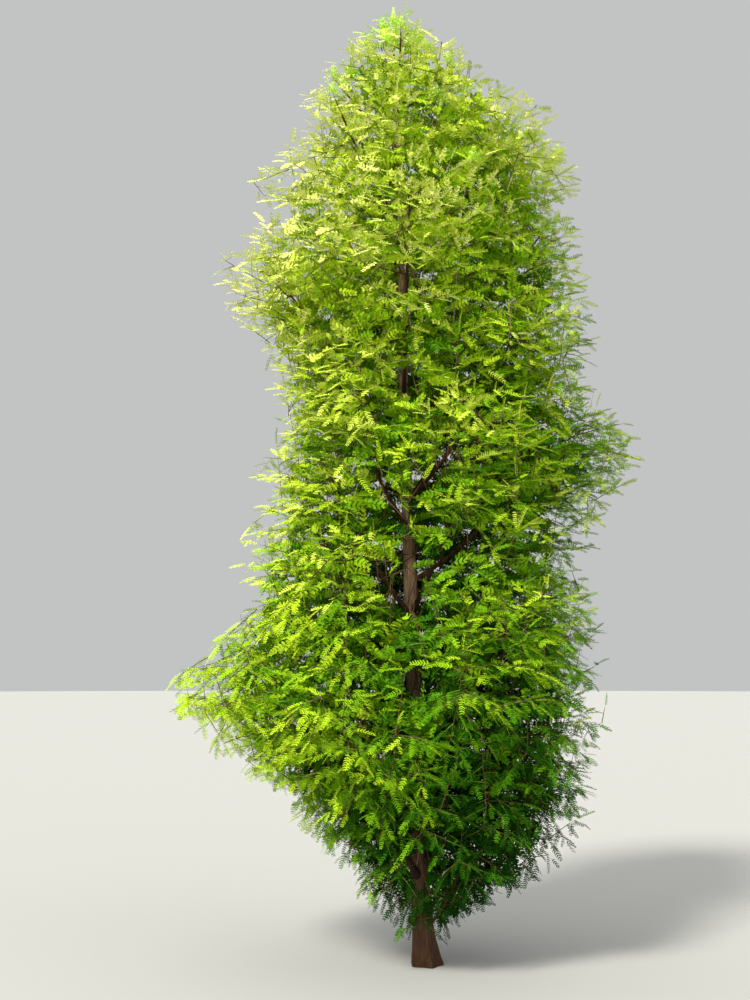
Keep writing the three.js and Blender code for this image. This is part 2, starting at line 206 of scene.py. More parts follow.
# Upright shoots, which stand on the stems and twigs with tiers of side twigs around them
UPRIGHT_STEP = 0.20
UPRIGHT_START = 0.75
UPRIGHT_RISE = (75, 8)
UPRIGHT_TURN_JITTER = 50
UPRIGHT_LONGEST = 0.55
UPRIGHT_SHORTEST = 0.10
UPRIGHT_RADIUS = 0.0024
UPRIGHT_BENDS = 2
UPRIGHT_OVERLAP = 0.14
TIER_START = 0.7
TIER_STEP = 0.050
TIER_TURN = 137.5
TIER_SWELL = (0.35, 0.6, 0.7)
TIER_SHARE = 0.45
TIER_LEAST = 0.03
TIER_LONGEST = 0.15
TIER_RISES = (-14, 34)
TIER_RISE_UP = 16

# Inner twigs on the boughs, hanging twigs on the stems, and short shoots on the trunk
INNER_TWIGS = 6
INNER_FIRST = 0.45
INNER_TURN = 110
INNER_TURN_JITTER = 50
INNER_RISE = (12, 25)
INNER_LONGEST = 0.45
INNER_RADIUS = 0.0035
HANGING_TWIGS = 4
HANGING_FAN = 75
HANGING_RISE = (-38, 16)
HANGING_LONGEST = 0.50
TRUNK_SHOOT_STEP = 0.075
TRUNK_SHOOT_LONGEST = 0.30
TRUNK_SHOOT_SCALE = (0.7, 1)
TRUNK_SHOOT_SEAT = 0.8
TRUNK_SHOOT_LOWEST = 0.20
TRUNK_SHOOT_TOP_GAP = 0.3
TRUNK_SHOOT_RISES = (-40, 28)
TRUNK_SHOOT_RISEN = 1.5
TRUNK_SHOOT_RISE_JITTER = 14
FOOT_SHOOTS = 16
FOOT_SHOOT_HEIGHTS = (0.26, 0.50)
FOOT_SHOOT_RISE = -52

# Sprays in a cell of the crown: none grows where the most stand already, and a cell with
# fewer than the least gets a twig of its own. Low down and on the right there are more.
SPRAY_CELL = 0.17
SPRAYS_MOST = 4
DEEP_SPRAYS_MOST = 3
LOW_SPRAYS_MORE = 2
LOW_HEIGHT = 1.1
RIGHT_SIDE = 0.35
SPRAYS_LEAST = 3
FILL_EDGE = 0.03
FILL_SHORTEST = SPRAY_CELL / 3
FILL_LONGEST = 0.50
FILL_RADIUS = 0.0024

# Branchlets: a thin axis with a row of needles on each side, in three lengths. The ones deep
# in the crown have fewer and larger needles.
LONG, MIDDLING, SHORT = 0, 1, 2
BRANCHLET_START = 0.6
BRANCHLET_SHORTER = 2.2
BRANCHLET_SIZE_JITTER = 0.9
BRANCHLET_STEP = 0.038
BRANCHLET_TURN = (47, 12)
BRANCHLET_LIFTS = (-48, 10)
BRANCHLET_LEVEL_HEIGHT = 3.4
BRANCHLET_LIFT_JITTER = 24
BRANCHLET_ROLL_HEIGHTS = (1.3, 3.2)
BRANCHLET_ROLLS = (46, 20)
DEEP_ROLL = 90
BRANCHLET_SCALE = (0.84, 1.18)
BRANCHLET_LENGTHS = (0.102, 0.079, 0.057)
BRANCHLET_ARCH = 0.10
FINE = dict(pair_step=0.0118, length=0.0205, width=0.0058)
DEEP = dict(pair_step=0.0180, length=0.0300, width=0.0150)
DEEP_SHARE = 0.75
DEEP_DEPTH = 0.25
NEEDLE_ROOT_SHARE = 0.62
NEEDLE_SWELL = 1.5
NEEDLE_TIP_LOSS = 0.5
NEEDLE_SHOULDER = 0.8
NEEDLE_TIP_OFFSET = 0.3
NEEDLE_TURNS = (62, 34)
NEEDLE_TURN_OFFSETS = (0, 8, -6, 4, -3)
NEEDLE_TWISTS = (-32, 14, -8, 36)
NEEDLE_LIFTS = (0.05, 0.40, -0.16, 0.22)
AXIS_RADIUS = 0.0011
AXIS_SIDES = 3
AXIS_TIP_SHARE = 0.3
TUFT_BRANCHLETS = 14
TUFT_RISES = (80, -25)
TUFT_CHANCES = {"leader": 0.7, "crest": 0.45, "shoulder": 0.14, "high": 0.04}
STEM_TUFT_MORE = 0.5
TUFT_SLACK = 0.055

# Where the trunk shows in front of the foliage: lowest and highest point, half the width. The
# inner parts of some boughs show too.
WINDOWS = [
    (3.79, 3.91, 0.022),
    (3.17, 3.30, 0.026),
    (1.94, 2.30, 0.040),
    (1.48, 1.56, 0.040),
    (0.49, 0.55, 0.050),
    (0.0, 0.04, 0.12),
]
BOUGH_WINDOWS = ("middle_3", "middle_5", "upper_1", "upper_2")
BOUGH_WINDOW_SHARES = (0.15, 0.70)
BOUGH_WINDOW_WIDTH = 0.028
WINDOW_POINTS = 5
BOUGH_WINDOW_POINTS = 6

# Gaps and slack
SEAT_GAP = 0.0003
CELL_GAP = 0.002
CELL_OVERLAP = 0.05
TIP_OVERLAP = 0.182
CROWN_SLACK = 0.012
EDGE_SLACK = (-0.10, 0.07)
TWIG_INSET = 0.045
BOX_SLACK = 0.05
AXIS_CORE = 0.015
CLEFT_SHARES = (0.06, 0.17)
CLEFT_WIDTH = 0.065
TWIG_GAP = 0.009
BRANCHLET_GAP = 0.012

# Seeds, marks and probes of the rules below. The spreads draw a branchlet's scale and roll
# from its one chance.
SEED_SPREAD = 2654435761
DRAW_FACTOR = 1664525
DRAW_SHIFT = 1013904223
DRAW_RANGE = 2**32
TWIG_SEED = 101
TRUNK_SEED = 301
# Painted light for the branchlets at shoot ends, and for sprays towards a shoot's end, with
# painted shade towards its foot.
TIP_PAINTED_LIGHT = 0.3
SHOOT_PAINTED_LIGHT = 0.9
BROWN, TAN, PALE, GREEN = 0, 1, 2, 3
PALE_HEIGHT = 3.3
LIME_MOOD = 9
ROOM_STEP = 0.015
ROOM_PROBES = 10
TRUNK_SAMPLES = 24
LIMB_SAMPLES = 16
TWIG_PROBES = 24
OPEN_PROBES = 8
PROBES_IN_STEM = 2
SPRAY_PROBES = 7
SCALE_SPREAD = 7.3
ROLL_SPREAD = 3.7
STEEP = 0.9

# The trunk's and the boughs' meshes. A relief says how thick the limb is where the relief is
# full, and how deep its ridges and fibres are. The tints are for the foot and for the crown:
# they paint shade on the bark at the foot and paint light on it up in the crown.
TRUNK_RINGS = 44
TRUNK_SIDES = 4 * FLUTES
TRUNK_RING_POWER = 1.5
TRUNK_CUT = 0.0002
TRUNK_SMOOTHING = 2
TRUNK_BELOW_CUT = 0.03
TRUNK_RELIEF = dict(thickest=0.09, ridges=0.014, fibres=0.006)
BOUGH_RINGS = 14
BOUGH_SIDES = 8
BOUGH_SMOOTHING = 1
BOUGH_COLLAR = 0.55
BOUGH_COLLAR_LENGTH = 2.2
BOUGH_RELIEF = dict(thickest=0.045, ridges=0.008, fibres=0.003)
RELIEF_CLOUDS = {"ridges": (0.034, 9), "fibres": (0.013, 14)}
SMOOTH_ANGLE = 60
BARK_TONES = [
    (0.30, (0.220, 0.120, 0.065)),
    (0.50, (0.520, 0.320, 0.190)),
    (0.72, (0.900, 0.600, 0.380)),
]
# Painted shade and light: the bark is darkest at the foot and gets lighter up to the crown.
TRUNK_SHADE_TINTS = ((0.060, 0.036, 0.018), (1.0, 1.0, 1.0))
BOUGH_SHADE_TINTS = ((0.030, 0.023, 0.020), (0.19, 0.15, 0.14))
BARK_LIGHT_HEIGHT = 2.2
BARK_STRETCH = 0.11
BARK_FIBRES = dict(Scale=95, Detail=6, Roughness=0.62)
BARK_BUMP = dict(Strength=0.5, Distance=0.002)

# Finishes: roughness and shine
NEEDLE_FINISH = (0.8, 0.05)
TWIG_FINISH = (0.8, 0.2)
BARK_FINISH = (0.88, 0.2)
FLOOR_FINISH = (0.9, 0.1)

# Tones of needles from the deepest to the lightest, the young tufts', and the twigs'
# Besides their own greens, the deeper needle tones paint shade and the lighter ones paint light.
NEEDLE_TONES = [
    ("needles_deep", (0.008, 0.052, 0.001)),
    ("needles_shade", (0.024, 0.110, 0.002)),
    ("needles_green", (0.060, 0.190, 0.003)),
    ("needles_leaf", (0.122, 0.278, 0.004)),
    ("needles_fresh", (0.212, 0.380, 0.006)),
    ("needles_bright", (0.340, 0.490, 0.014)),
    ("needles_yellowed", (0.490, 0.590, 0.060)),
    ("needles_pale", (0.640, 0.700, 0.170)),
]
LIME_TONE = ("needles_lime", (0.500, 0.720, 0.090))
LIME_HEIGHT = 0.955
TWIG_TONES = [
    ("twig_brown", (0.070, 0.030, 0.014)),
    ("twig_tan", (0.085, 0.048, 0.018)),
    ("twig_pale", (0.190, 0.125, 0.060)),
    ("twig_green", (0.150, 0.220, 0.020)),
]

# How light a branchlet is, from 0 to 1: what its height, the crown's edge, the dark foot, the
# side, a belt inside the crown, its spray's mood, chance and a cleft add or take away. Height adds
# the upper crown's yellower green and painted light; the edge, the left side and the belt add
# painted light; the foot, the inside, the right side and a cleft take it away as painted shade.
LIGHT_BASE = 0.05
LIGHT_HEIGHT = 0.67
LIGHT_EDGE = 0.40
LIGHT_FOOT = -0.54
LIGHT_SIDE = -0.16
LIGHT_FOOT_LEFT = 7
LIGHT_FOOT_RIGHT = -1
LIGHT_BELT = 0.2
LIGHT_MOOD = 0.30
LIGHT_CHANCE = 0.05
LIGHT_CLEFT = -0.16
LIGHT_MOST_FOOT = 0.58
LIGHT_MOST_RISE = 0.5
FOOT_TOP = 1.8
BELT_HEIGHT = 3.8
BELT_WIDTH = 0.5
BELT_EDGE = 0.75
EDGE_MOST = 1.1
REACH_LEAST = 0.05

# Floor, sky and lights: name, turn in degrees, energy, width in degrees and colour
FLOOR_RADIUS = 90
FLOOR_SIDES = 96
FLOOR_COLOUR = (0.32, 0.32, 0.31)
SKY_COLOUR = (0.90, 0.91, 0.91, 1)
SKY_STRENGTH = 0.60
LIGHTS = [
    ("key", (47, 0, -32), 5.6, 12, (1.0, 0.97, 0.88)),
    ("sky", (30, 0, -12), 1.9, 110, (1.0, 1.0, 0.97)),
    ("back", (-52, 0, 20), 0.9, 110, (1.0, 1.0, 0.98)),
    ("fill", (62, 0, 48), 0.5, 60, (0.97, 0.98, 1.0)),
]

UP = np.array((0.0, 0.0, 1.0))
BOX_LOW = np.array(frame_box[0]) - BOX_SLACK
BOX_HIGH = np.array(frame_box[1]) + BOX_SLACK


# Small tools


def lerp(low, high, share):
    return low + (high - low) * share


def unit(vector):
    return vector / np.linalg.norm(vector)


def sag_of(droop, length):
    """How far a twig's end sinks when it droops by so many degrees there."""
    return -math.tan(math.radians(droop)) * length / 2


def draws_from(seed):
    """Seeded numbers from 0 to 1."""
    state = (seed + 1) * SEED_SPREAD % DRAW_RANGE

    def draw():
        nonlocal state
        state = (state * DRAW_FACTOR + DRAW_SHIFT) % DRAW_RANGE
        return state / DRAW_RANGE

    return draw


def between(draw, low, high):
    return lerp(low, high, draw())


def direction(bearing, rise):
    turn, lift = math.radians(bearing), math.radians(rise)
    flat = math.cos(lift)
    return np.array((math.cos(turn) * flat, math.sin(turn) * flat, math.sin(lift)))


def turned(way, side, degrees):
    turn = math.radians(degrees)
    return way * math.cos(turn) + side * math.sin(turn)


def heading(along, sag, share=1):
    """The way of a sagging twig at a share along it."""
    return unit(along - 2 * UP * sag * share)


def unit_rows(vectors):
    return vectors / np.linalg.norm(vectors, axis=1)[:, None]


def sagging(start, along, sag=0.0):
    """A straight curve that sinks more and more, as a function of the share along it."""

    def point(share):
        share = np.asarray(share, float)[..., None]
        return start + along * share - UP * sag * share**2

    return point


def swell(share, more, full, power):
    """How long side twigs are at a share along, from 0 to 1."""
    return min(1, (share + more) / full) * (1 - share) ** power


def quadratic(start, knee, end):
    """A quadratic curve as a function of the share along it."""

    def point(share):
        share = np.asarray(share, float)[..., None]
        return (1 - share) ** 2 * start + 2 * share * (1 - share) * knee + share**2 * end

    return point


# The trunk's axis and surface


def axis_at(height):
    height = np.asarray(height, float)
    lean = FOOT_LEAN * (1 - np.exp(-height / FOOT_LEAN_HEIGHT))
    lean = lean + TOP_LEAN * (height / TRUNK_HEIGHT) ** 2
    sway = SWAY * np.sin(height / SWAY_HEIGHT)
    return np.stack([lean + sway, -sway, height], axis=-1)


def trunk_radius(height):
    taper = lerp(FOOT_RADIUS, TRUNK_TIP_RADIUS, height / TRUNK_HEIGHT)
    return taper + ROOT_FLARE * math.exp(-height / FLARE_HEIGHT)


# The crown's outline and the spaces of the masses


def crown_reach(height, turn):
    """How far the crown reaches from the axis at a height, for a turn in radians."""
    left = np.interp(height, CROWN[:, 0], CROWN[:, 1], left=0, right=0)
    right = np.interp(height, CROWN[:, 0], CROWN[:, 2], left=0, right=0)
    wave = np.sin(CROWN_LOBES * turn + height / CROWN_LOBE_HEIGHT)
    return ((left + right) / 2 + (right - left) / 2 * np.cos(turn)) * (1 + CROWN_LOBE_SHARE * wave)


def outward(points):
    """Each point's distance from the axis, and the crown's reach there."""
    apart = points - axis_at(points[..., 2])
    turn = np.arctan2(apart[..., 1], apart[..., 0])
    return np.hypot(apart[..., 0], apart[..., 1]), crown_reach(points[..., 2], turn)


def inside_crown(points, slack=0.0):
    distance, reach = outward(points)
    in_box = (points > BOX_LOW).all(axis=-1) & (points < BOX_HIGH).all(axis=-1)
    return (points[..., 2] >= GROUND_GAP) & (distance < reach + slack) & in_box


def at_bearing(height, bearing, share):
    reach = float(crown_reach(height, math.radians(bearing)))
    return axis_at(height) + direction(bearing, 0) * reach * share


def room_for(mass, start, way, longest, gap=CELL_GAP, slack=0.0):
    """How far a twig may run before it leaves its mass's space or the crown."""
    apart = mass.others - mass.middle
    lengths = np.linalg.norm(apart, axis=1)
    speeds = apart @ way / lengths
    halfway = (mass.others + mass.middle) / 2 - start
    left = (halfway * apart).sum(axis=1) / lengths - gap
    ahead = speeds > 0
    most = float((left[ahead] / speeds[ahead]).min(initial=longest))
    steps = np.arange(1, int(max(most, 0) / ROOM_STEP) + 1) * ROOM_STEP
    outside = ~inside_crown(start + steps[:, None] * way, slack)
    return ROOM_STEP * (int(np.argmax(outside)) if outside.any() else len(steps))


def space_left(mass, points):
    """How far inside its mass's space each point lies, below 0 for one in another's space."""
    own = ((points - mass.middle) ** 2).sum(axis=-1)
    apart = np.linalg.norm(mass.others - mass.middle, axis=1)
    far = ((points[:, None] - mass.others) ** 2).sum(axis=-1)
    return ((far - own[:, None]) / (2 * apart)).min(axis=1)


def cleft(mass, points):
    """How deep a cleft between two masses is at each point, from 0 to 1."""
    return np.exp(-np.clip(space_left(mass, points), 0, None) / CLEFT_WIDTH)


def inside_bulge(mass, points, slack):
    """Which points lie inside the crown, which sinks in where a mass's space ends."""
    share = np.interp(points[..., 2], (LOW_HEIGHT, 2 * LOW_HEIGHT), CLEFT_SHARES)
    distance, reach = outward(points)
    side = (points - axis_at(points[..., 2]))[..., 0] / np.maximum(distance, AXIS_CORE)
    left, right = (np.interp(points[..., 2], DIPS[:, 0], DIPS[:, k]) for k in (1, 2))
    dip = left * np.clip(-side, 0, 1) + right * np.clip(side, 0, 1)
    return inside_crown(points, slack - dip - share * cleft(mass, points) * reach)


def clear_of(points, limbs, gap):
    """Which points keep a gap to every limb. A limb is a row of middles with radii."""
    clear = np.ones(len(points), bool)
    for middles, radii in limbs:
        starts, spans = middles[:-1], np.diff(middles, axis=0)
        share = ((points[:, None] - starts) * spans).sum(axis=2) / (spans**2).sum(axis=1)
        nearest = starts + np.clip(share, 0, 1)[:, :, None] * spans
        distance = np.linalg.norm(points[:, None] - nearest, axis=2)
        clear &= (distance > np.maximum(radii[:-1], radii[1:]) + gap).all(axis=1)
    return clear


# The layout of the masses, their boughs and their stems


def mass_at(ring, name, bearing, height, seat, share, has_bough):
    is_leader = ring == "leader"
    return SimpleNamespace(
        ring=ring,
        name=name,
        bearing=bearing,
        height=height,
        seat=seat,
        middle=at_bearing(height, bearing, share),
        has_bough=has_bough,
        fan=LEADER_FAN if is_leader else TWIG_FAN,
        tip_rises=LEADER_TIP_RISES if is_leader else TIP_RISES,
    )


def lay_out():
    """The masses ring by ring from the foot up, and the leader's last."""
    masses = []
    for name, count, middle, seat, turn, share, has_bough in RINGS:
        draw = draws_from(len(masses))
        for k in range(count):
            bearing = turn + 360 / count * k + between(draw, -MASS_TURN_JITTER, MASS_TURN_JITTER)
            lift = MASS_CLIMB * (k - (count - 1) / 2)
            lift += between(draw, -MASS_HEIGHT_JITTER, MASS_HEIGHT_JITTER)
            place = (bearing, middle + lift, seat + lift)
            masses.append(mass_at(name, f"{name}_{k + 1}", *place, share, has_bough))
    place = (LEADER_BEARING, LEADER_MIDDLE, TRUNK_HEIGHT)
    masses.append(mass_at("leader", "leader", *place, 0, False))
    for index, mass in enumerate(masses):
        mass.index = index
        mass.others = np.array([other.middle for other in masses if other is not mass])
    return masses


def bough_of(mass):
    start = axis_at(mass.seat)
    end = at_bearing(mass.height, mass.bearing, BOUGH_END_SHARE)
    end[2] = mass.height - BOUGH_END_DROP
    knee = lerp(start, end, BOUGH_KNEE_SHARE)
    knee[2] -= (end[2] - start[2]) * BOUGH_KNEE_DROP
    seat_radius = trunk_radius(mass.seat) * BOUGH_SEAT_SHARE

    def radius_at(share):
        return lerp(seat_radius, BOUGH_END_RADIUS, np.asarray(share) ** BOUGH_TAPER_POWER)

    return SimpleNamespace(
        curve=quadratic(start, knee, end), radius_at=radius_at, end=end, way=unit(end - knee)
    )


def stem_radius(share):
    return lerp(*STEM_RADII, np.asarray(share))


def stem_of(mass):
    if mass.ring == "leader":
        start = axis_at(TRUNK_HEIGHT) + UP * SEAT_GAP
        top = axis_at(CROWN_TOP - LEADER_TIP)
        return quadratic(start, (start + top) / 2, top)
    top = at_bearing(mass.height, mass.bearing, STEM_TOP_SHARE)
    top[2] = mass.height + STEM_RISE
    way = unit(top - mass.middle)
    room = room_for(mass, mass.middle, way, np.linalg.norm(top - mass.middle))
    end = mass.middle + way * room * STEM_ROOM_SHARE
    if not mass.has_bough:
        return quadratic(axis_at(mass.seat), mass.middle, end)
    start = mass.bough.end + mass.bough.way * SEAT_GAP
    knee = start + mass.bough.way * np.linalg.norm(end - start) * STEM_KNEE_SHARE
    return quadratic(start, knee, end)


def limb_of(curve, radius_at):
    shares = np.linspace(0, 1, LIMB_SAMPLES + 1)
    return curve(shares), radius_at(shares)


# Growth: tubes for the twigs, and places for the branchlets


def cell_of(point):
    return tuple((point // SPRAY_CELL).astype(int))


def more_sprays(point):
    """How many sprays more a cell takes low down and on the right."""
    in_lower_half = point[2] < 2 * LOW_HEIGHT
    return LOW_SPRAYS_MORE * (point[2] < LOW_HEIGHT) + (in_lower_half or point[0] > RIGHT_SIDE)


def most_sprays(point):
    return (DEEP_SPRAYS_MOST if is_deep(point) else SPRAYS_MOST) + more_sprays(point)


def is_deep(points):
    distance, reach = outward(points)
    return distance < np.minimum(reach * DEEP_SHARE, reach - DEEP_DEPTH)


class Growth:
    """What one mass grows: twigs as rows of middles with radii, and branchlets' places."""

    def __init__(self, mass, limbs, crowd):
        self.mass = mass
        self.limbs = limbs
        self.crowd = crowd
        self.draw = draws_from(mass.index + TWIG_SEED)
        self.droop = lerp(*DROOPS, mass.height / TRUNK_HEIGHT)
        self.side_lift = (self.droop * SIDE_DROOP_SHARE, SIDE_DROOP_JITTER)
        level = min(1, mass.height / BRANCHLET_LEVEL_HEIGHT)
        self.branchlet_lift = (lerp(*BRANCHLET_LIFTS, level), BRANCHLET_LIFT_JITTER)
        self.mood = 0
        self.painted_light_along = 0
        self.slack = 0
        self.tubes = []
        self.reached = []
        self.places = []

    def jitter(self, most):
        return between(self.draw, -most, most)

    def about(self, value, jitter):
        return value + self.jitter(jitter)

    def fork(self, way, across, number, turn, lift):
        """The way of a side twig or branchlet, on one side of its twig and then the other."""
        out = turned(way, across if number % 2 else -across, self.about(*turn))
        return unit(out + UP * math.tan(math.radians(self.about(*lift))))

    def crowded(self, point):
        return self.crowd.get(cell_of(point), 0) >= most_sprays(point)

    def share_inside(self, middle):
        """How much of a twig lies within its mass's bulge of the crown."""
        shares = np.linspace(0, 1, ROOM_PROBES + 1)
        inside = inside_bulge(self.mass, middle(shares), self.slack - TWIG_INSET)
        return 1 if inside.all() else shares[max(int(np.argmin(inside)) - 1, 0)]

    def edge_slack(self):
        """How far past the crown's outline, or short of it, the next sprays end."""
        return between(self.draw, *EDGE_SLACK)

    def tube(self, middles, radius, sides, tone, end_radius=TWIG_END_RADIUS):
        radii = np.linspace(radius, end_radius, len(middles))
        self.tubes.append((middles, radii, sides, tone))
        if tone != GREEN:
            self.reached.extend(middles)

    def branchlet(self, at, way, across, size, tip_light, spray=-1):
        chance = self.draw()
        self.places.append((at, way, across, size, chance, self.mood + tip_light, self.slack, spray))

    def tuft(self, at):
        """Young branchlets in all directions at the end of a leading shoot."""
        self.mood = LIME_MOOD
        self.slack = TUFT_SLACK
        for k in range(TUFT_BRANCHLETS):
            way = direction(TIER_TURN * k, lerp(*TUFT_RISES, k / (TUFT_BRANCHLETS - 1)))
            self.branchlet(at, way, unit(np.cross(UP, way)), SHORT, 0)

    def stem(self):
        """The stem, and a frond that carries it on to the crown's edge."""
        mass = self.mass
        middles = mass.stem(np.linspace(0, 1, STEM_BENDS + 1))
        self.tube(middles, STEM_RADII[0], STEM_SIDES, BROWN, STEM_RADII[1])
        end = mass.stem(1.0)
        rooms = []
        for rise in mass.tip_rises:
            way = direction(mass.bearing, rise)
            room = room_for(mass, end, way, TWIG_LONGEST)
            rooms.append((room * math.cos(math.radians(rise)), room, rise))
        _, room, rise = max(rooms)
        way = direction(mass.bearing, rise)
        middle = self.frond(end, way, room, STEM_RADII[1])
        self.uprights(middle, way, room)
        if self.draw() < TUFT_CHANCES.get(mass.ring, -1) + STEM_TUFT_MORE:
            self.tuft(end if middle is None else middle(1.0))

    def inner_twigs(self):
        """Twigs on the outer part of the mass's bough, which close the crown's inside."""
        mass = self.mass
        for k in range(INNER_TWIGS):
            share = lerp(INNER_FIRST, 1, k / INNER_TWIGS)
            start = mass.bough.curve(share)
            turn = INNER_TURN if k % 2 else -INNER_TURN
            bearing = self.about(mass.bearing + turn, INNER_TURN_JITTER)
            self.open_twig(start, direction(bearing, self.about(*INNER_RISE)), INNER_LONGEST)

    def hanging_twigs(self):
        """Twigs that hang below the stem, down to the mass underneath."""
        mass = self.mass
        for k in range(HANGING_TWIGS):
            start = mass.stem((k + 0.5) / HANGING_TWIGS)
            bearing = self.about(mass.bearing, HANGING_FAN)
            self.open_twig(start, direction(bearing, self.about(*HANGING_RISE)), HANGING_LONGEST)

    def open_twig(self, start, way, longest):
        """A leafy twig where the crown is still open."""
        reach = room_for(self.mass, start, way, longest, -CELL_OVERLAP)
        if reach >= TWIG_SHORTEST and not self.crowded(start + way * reach / 2):
            self.leafy_twig(start, way, reach, INNER_RADIUS, OPEN_PROBES, 0.0)

    def leafy_twig(self, start, way, reach, radius, probes, gap):
        """A frond with upright shoots, where it keeps clear of the limbs."""
        shares = np.linspace(0, 1, probes + 1)[PROBES_IN_STEM:, None]
        if clear_of(start + way * reach * shares, self.limbs, gap).all():
            self.uprights(self.frond(start, way, reach, radius), way, reach)

    def twigs(self):
        """The stem's own twigs, in a fan on both sides."""
        mass = self.mass
        first = self.draw()
        for k in range(TWIGS):
            share = lerp(*TWIG_SPAN, k / (TWIGS - 1))
            start = mass.stem(share)
            side = 2 * ((first + GOLDEN_SHARE * k) % 1) - 1
            bearing = mass.bearing + mass.fan * side
            lift = TWIG_RISE_ALONG * share + TWIG_RISE_UP * mass.height / TRUNK_HEIGHT
            way = direction(bearing, self.about(TWIG_RISE + lift, TWIG_RISE_JITTER))
            reach = room_for(mass, start, way, TWIG_LONGEST)
            if reach >= TWIG_SHORTEST:
                radius = float(stem_radius(share)) * TWIG_START_SHARE
                self.leafy_twig(start, way, reach, radius, TWIG_PROBES, TWIG_GAP)

    def frond(self, start, way, reach, radius, tone=BROWN):
        """A twig with a flat row of side twigs on each side, which sinks towards its tip.

        It ends with its last side twig, and where there is room for none it is left out.
        """
        self.slack = self.edge_slack()
        across = unit(np.cross(UP, way))
        across = turned(across, np.cross(way, across), self.jitter(TWIG_ROLL))
        sag = sag_of(self.droop * END_DROOP_SHARE, reach) + self.jitter(TWIG_BEND) * reach
        along = way * reach
        middle = sagging(start, along, sag)
        most = max(self.share_inside(middle), TWIG_LEAST_SHARE)
        last = None
        count = max(2, round(reach * (1 - SIDE_FIRST) / SIDE_STEP))
        for j in range(count):
            share = lerp(SIDE_FIRST, 1, (j + 0.5) / count)
            if share > most:
                break
            # Sprays further along the twig get painted light, those near its foot painted shade.
            self.painted_light_along = share - SHADE_TO_LIGHT_SHARE
            ahead = heading(along, sag, share)
            side_way = self.fork(ahead, across, j, SIDE_TURN, self.side_lift)
            length = reach * SIDE_SHARE * swell(share, *SIDE_SWELL) + SIDE_LEAST
            if self.side_twig(middle(share), side_way, min(SIDE_LONGEST, length)):
                last = share
        if last is None:
            return None
        most = min(most, last + SIDE_STEP / reach)
        middles = middle(np.linspace(0, most, TWIG_BENDS + 1))
        self.tube(middles, radius, TWIG_SIDES, tone)
        # The last branchlet gets painted light at the tip.
        self.branchlet(middle(most), heading(along, sag, most), across, LONG, TIP_PAINTED_LIGHT)
        return lambda share: middle(share * most)

    def uprights(self, middle, way, reach):
        """Upright shoots in a row on a twig."""
        if middle is None:
            return
        bearing = math.degrees(math.atan2(way[1], way[0]))
        count = max(1, round(reach / UPRIGHT_STEP))
        for j in range(count):
            start = middle((j + UPRIGHT_START) / count)
            rise = self.about(*UPRIGHT_RISE)
            up = direction(self.about(bearing, UPRIGHT_TURN_JITTER), rise)
            length = room_for(self.mass, start, up, UPRIGHT_LONGEST, -UPRIGHT_OVERLAP)
            if length >= UPRIGHT_SHORTEST and not self.crowded(start + up * length / 2):
                self.upright(start, up, length)

    def upright(self, start, way, length):
        """A thin leading shoot with side twigs that stand around it in tiers."""
        self.slack = self.edge_slack()
        length = length * self.share_inside(sagging(start, way * length))
        if length < UPRIGHT_SHORTEST:
            return
        middle = sagging(start, way * length)
        last = None
        count = max(2, round(length / TIER_STEP))
        first = 360 * self.draw()
        for j in range(count):
            share = (j + TIER_START) / count
            # Higher tiers get painted light, lower ones painted shade.
            self.painted_light_along = share - SHADE_TO_LIGHT_SHARE
            rise = self.about(lerp(*TIER_RISES, share), SIDE_DROOP_JITTER)
            rise += TIER_RISE_UP * self.mass.height / TRUNK_HEIGHT
            side_way = direction(first + TIER_TURN * j, rise)
            side_length = min(TIER_LONGEST, length * TIER_SHARE) * swell(share, *TIER_SWELL)
            if self.side_twig(middle(share), side_way, side_length + TIER_LEAST):
                last = share
        if last is None:
            return
        top = min(1, last + TIER_STEP / length)
        tone = PALE if start[2] > PALE_HEIGHT else TAN
        self.tube(middle(np.linspace(0, top, UPRIGHT_BENDS + 1)), UPRIGHT_RADIUS, SIDE_SIDES, tone)
        # The top branchlet gets painted light.
        self.branchlet(middle(top), way, unit(np.cross(way, (1.0, 0, 0))), MIDDLING, TIP_PAINTED_LIGHT)
        if self.draw() < TUFT_CHANCES.get(self.mass.ring, 0):
            self.tuft(middle(top))

    def side_twig(self, start, way, longest):
        """A spray: a thin twig with branchlets on both sides, all of one mood.

        It returns whether there was room for one.
        """
        longest_room = longest + ROOM_STEP
        room = room_for(self.mass, start, way, longest_room, -UPRIGHT_OVERLAP, self.slack)
        length = min(longest, room)
        if length < SIDE_SHORTEST or self.crowded(start + way * length / 2):
            return False
        length = length * self.share_inside(sagging(start, way * length))
        if length < SIDE_SHORTEST:
            return False
        cell = cell_of(start + way * length / 2)
        self.crowd[cell] = self.crowd.get(cell, 0) + 1
        # A random mood, with painted light towards the end of its shoot and painted shade near its
        # foot.
        self.mood = self.draw() - 0.5 + SHOOT_PAINTED_LIGHT * self.painted_light_along
        across = unit(np.cross(UP, way))
        sag = sag_of(self.droop * SIDE_DROOP_SHARE, length)
        middle = sagging(start, way * length, sag)
        bends = 2 if length > SIDE_BENT else 1
        spray = len(self.tubes)
        self.tube(middle(np.linspace(0, 1, bends + 1)), SIDE_RADIUS, SIDE_SIDES, GREEN)
        count = max(1, round(length / BRANCHLET_STEP))
        for j in range(count):
            share = (j + BRANCHLET_START) / count
            out = self.fork(way, across, j, BRANCHLET_TURN, self.branchlet_lift)
            size = int(share * BRANCHLET_SHORTER + self.draw() * BRANCHLET_SIZE_JITTER)
            size = min(size, SHORT)
            # Branchlets towards the spray's end get more painted light, the last one the most.
            self.branchlet(middle(share), out, np.cross(UP, out), size, TIP_PAINTED_LIGHT * share**2, spray)
        self.branchlet(middle(1.0), heading(way * length, sag), across, MIDDLING, TIP_PAINTED_LIGHT, spray)
        return True


